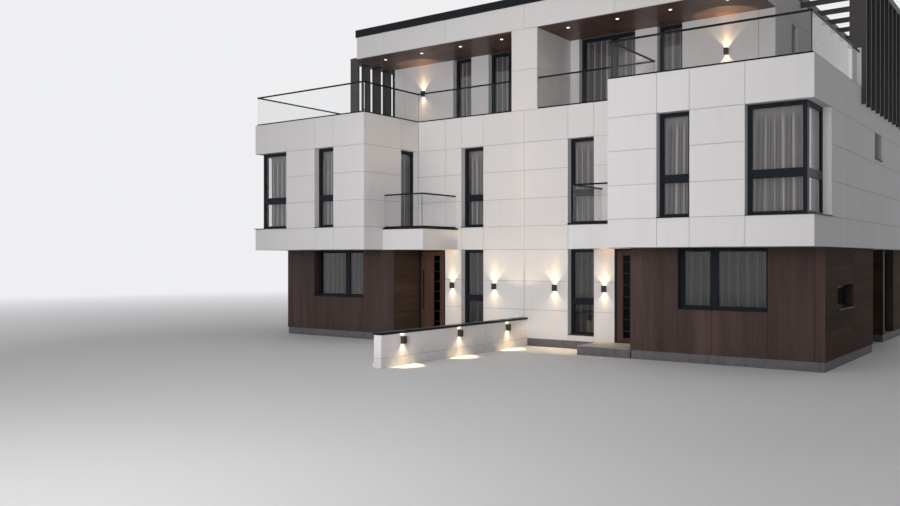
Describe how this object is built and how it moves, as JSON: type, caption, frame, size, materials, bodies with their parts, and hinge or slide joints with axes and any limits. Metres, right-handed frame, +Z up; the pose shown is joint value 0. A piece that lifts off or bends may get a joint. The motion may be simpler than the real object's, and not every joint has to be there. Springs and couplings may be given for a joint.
{
  "type": "villa",
  "caption": "Modern semi-detached villa: white panel storeys cantilevered over a timber clad ground floor, with loggias, glass guards, fins and a low garden wall.",
  "frame": {"origin": "on the ground where the party line between the two homes meets the main front wall", "axes": "+X to the right seen from the street, +Y into the building, +Z up; the street is towards -Y"},
  "size_m": [16.876, 16.692, 9.805],
  "materials": {
    "white_panel": "large smooth warm white facade panels with thin open joints",
    "timber_panel": "dark reddish brown timber cladding, matt",
    "grey_plinth": "grey rendered plinth and porch slab",
    "floor_finish": "plain floor finish inside",
    "concrete": "cast floor slab with pale finish",
    "white_board": "white soffit and ceiling board",
    "soffit_timber": "brown timber boards under the roof",
    "roof_membrane": "flat grey roof membrane",
    "black_cap": "black powder coated metal edge",
    "dark_frame": "anthracite powder coated window profile",
    "window_glass": "clear insulating glass",
    "black_sill": "folded black sill plate",
    "curtain_cloth": "pale grey pleated sheer cloth",
    "dark_rail": "thin dark handrail and glass channel",
    "guard_glass": "clear laminated guard glass",
    "grey_fin": "dark warm grey fin, matt",
    "hinge_steel": "brushed steel hinge",
    "door_timber": "dark brown door panel",
    "door_glass": "dark glass strip",
    "black_handle": "black bar handle and lever",
    "lamp_housing": "dark brown lamp housing",
    "downlight_lens": "round lit lens"
  },
  "bodies": {
    "building": {"back_wall_first": "white_panel", "back_wall_ground": "white_panel", "balcony_slabs": "white_panel", "balcony_trims": "black_cap", "box_front_walls": "white_panel", "box_inner_walls": "white_panel", "curtains": "curtain_cloth", "door_frames": "dark_frame", "door_hinges": "hinge_steel", "downlights": "downlight_lens", "fin_beams": "grey_fin", "fins": "grey_fin", "first_floor_slab": "concrete", "foundation": "grey_plinth", "front_wall_first": "white_panel", "front_wall_ground": "white_panel", "garden_wall": "white_panel", "garden_wall_cap": "black_cap", "ground_floor": "floor_finish", "guard_glass": "guard_glass", "guard_rails": "dark_rail", "loggia_pier": "white_panel", "loggia_soffit": "soffit_timber", "niche_end_walls": "timber_panel", "niche_walls": "timber_panel", "party_wall": "white_panel", "pergola_beams": "grey_fin", "porch_slabs": "grey_plinth", "rear_side_walls": "timber_panel", "roof_cap": "black_cap", "roof_fascia": "white_panel", "roof_slab": "roof_membrane", "side_walls": "white_panel", "soffit_boards": "white_board", "terrace_slab": "concrete", "timber_entrance_walls": "timber_panel", "timber_fronts": "timber_panel", "timber_sides": "timber_panel", "top_back_wall": "white_panel", "top_front_wall": "white_panel", "top_side_walls": "white_panel", "upper_side_walls": "white_panel", "wall_lamps": "lamp_housing", "window_frames": "dark_frame", "window_glass": "window_glass", "window_sills": "black_sill"},
    "entrance_door_right": {"door_right": "door_timber", "door_glass_right": "door_glass", "door_handle_right": "black_handle", "hinge_leaves_right": "hinge_steel"},
    "entrance_door_left": {"door_left": "door_timber", "door_glass_left": "door_glass", "door_handle_left": "black_handle", "hinge_leaves_left": "hinge_steel"}
  },
  "joints": [
    {"name": "door_right_hinge", "type": "hinge", "parent": "building", "child": "entrance_door_right", "pos_m": [2.8045, 0.116, 1.45], "axis": [0, 0, 1], "range_deg": [0, 90]},
    {"name": "door_left_hinge", "type": "hinge", "parent": "building", "child": "entrance_door_left", "pos_m": [-2.8045, 0.116, 1.45], "axis": [0, 0, -1], "range_deg": [0, 90]}
  ]
}
